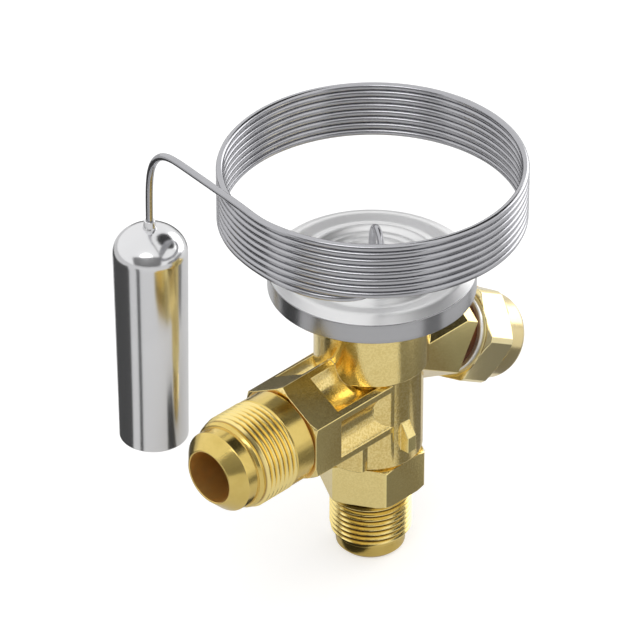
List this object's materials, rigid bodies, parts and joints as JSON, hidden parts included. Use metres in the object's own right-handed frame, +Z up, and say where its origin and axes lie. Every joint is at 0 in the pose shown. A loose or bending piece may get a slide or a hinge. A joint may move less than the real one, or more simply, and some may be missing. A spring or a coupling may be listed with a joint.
{
  "type": "thermostatic expansion valve",
  "caption": "Angle pattern expansion valve: brass body with flare ends, sloping capped setting spindle, diaphragm head, coiled capillary and sensing bulb.",
  "frame": {"origin": "centre of the inlet flare's mouth", "axes": "+Z up along the valve axis towards the diaphragm head, -X along the outlet, +X towards the sloping setting spindle"},
  "size_m": [0.097, 0.0884, 0.1049],
  "materials": {
    "forged_brass": "blasted forging with turned flares",
    "turned_brass": "turned",
    "head_steel": "satin pressed stainless steel",
    "bulb_steel": "polished stainless steel",
    "wire_steel": "bright drawn stainless steel",
    "inner_steel": "ground steel",
    "washer_metal": "plain",
    "ring_rubber": "matt"
  },
  "bodies": {
    "valve": {"valve_body": "forged_brass", "inlet_strainer": "inner_steel", "orifice_cartridge": "turned_brass", "cartridge_ring": "ring_rubber", "rod_guide": "turned_brass", "superheat_spring": "inner_steel", "drive_guide": "turned_brass", "spindle_ring": "ring_rubber", "packing_gland": "turned_brass", "head_gasket": "washer_metal", "lower_housing": "head_steel", "diaphragm": "head_steel", "upper_cover": "head_steel", "head_ferrule": "head_steel", "capillary_tube": "wire_steel", "sensing_bulb": "bulb_steel", "bulb_ferrule": "bulb_steel"},
    "plunger": {"push_rod": "inner_steel", "valve_cone": "inner_steel", "thrust_pad": "inner_steel"},
    "lift_seat": {"spring_seat": "turned_brass"},
    "setting_pin": {"drive_pin": "inner_steel"},
    "spindle": {"setting_spindle": "turned_brass"},
    "washer": {"cap_washer": "washer_metal"},
    "cap": {"seal_cap": "turned_brass"}
  },
  "joints": [
    {"name": "valve_stroke", "type": "slide", "parent": "valve", "child": "plunger", "axis": [0, 0, -1], "range_m": [0, 0.0008], "stiffness_N_per_m": 2000, "deforming": ["superheat_spring", "diaphragm"]},
    {"name": "pin_drive", "type": "slide", "parent": "valve", "child": "setting_pin", "axis": [-0.866, 0, 0.5], "range_m": [-0.002, 0.002]},
    {"name": "spindle_turn", "type": "hinge", "parent": "valve", "child": "spindle", "pos_m": [0.02079, 0, 0.0493], "axis": [-0.866, 0, 0.5], "range_deg": [-1444, 1444]},
    {"name": "seat_lift", "type": "slide", "parent": "valve", "child": "lift_seat", "axis": [0, 0, 1], "range_m": [-0.00101, 0.00101]},
    {"name": "cap_lift", "type": "slide", "parent": "valve", "child": "washer", "axis": [0.866, 0, -0.5], "range_m": [0, 0.0075]},
    {"name": "cap_turn", "type": "hinge", "parent": "washer", "child": "cap", "pos_m": [0.02079, 0, 0.0493], "axis": [0.866, 0, -0.5], "range_deg": [0, 1804]}
  ],
  "couplings": [
    {"joint": "spindle_turn", "follows": "pin_drive", "rad_per_m": 12566},
    {"joint": "seat_lift", "follows": "pin_drive", "ratio": 0.5},
    {"joint": "cap_turn", "follows": "cap_lift", "rad_per_m": 4188.8}
  ]
}
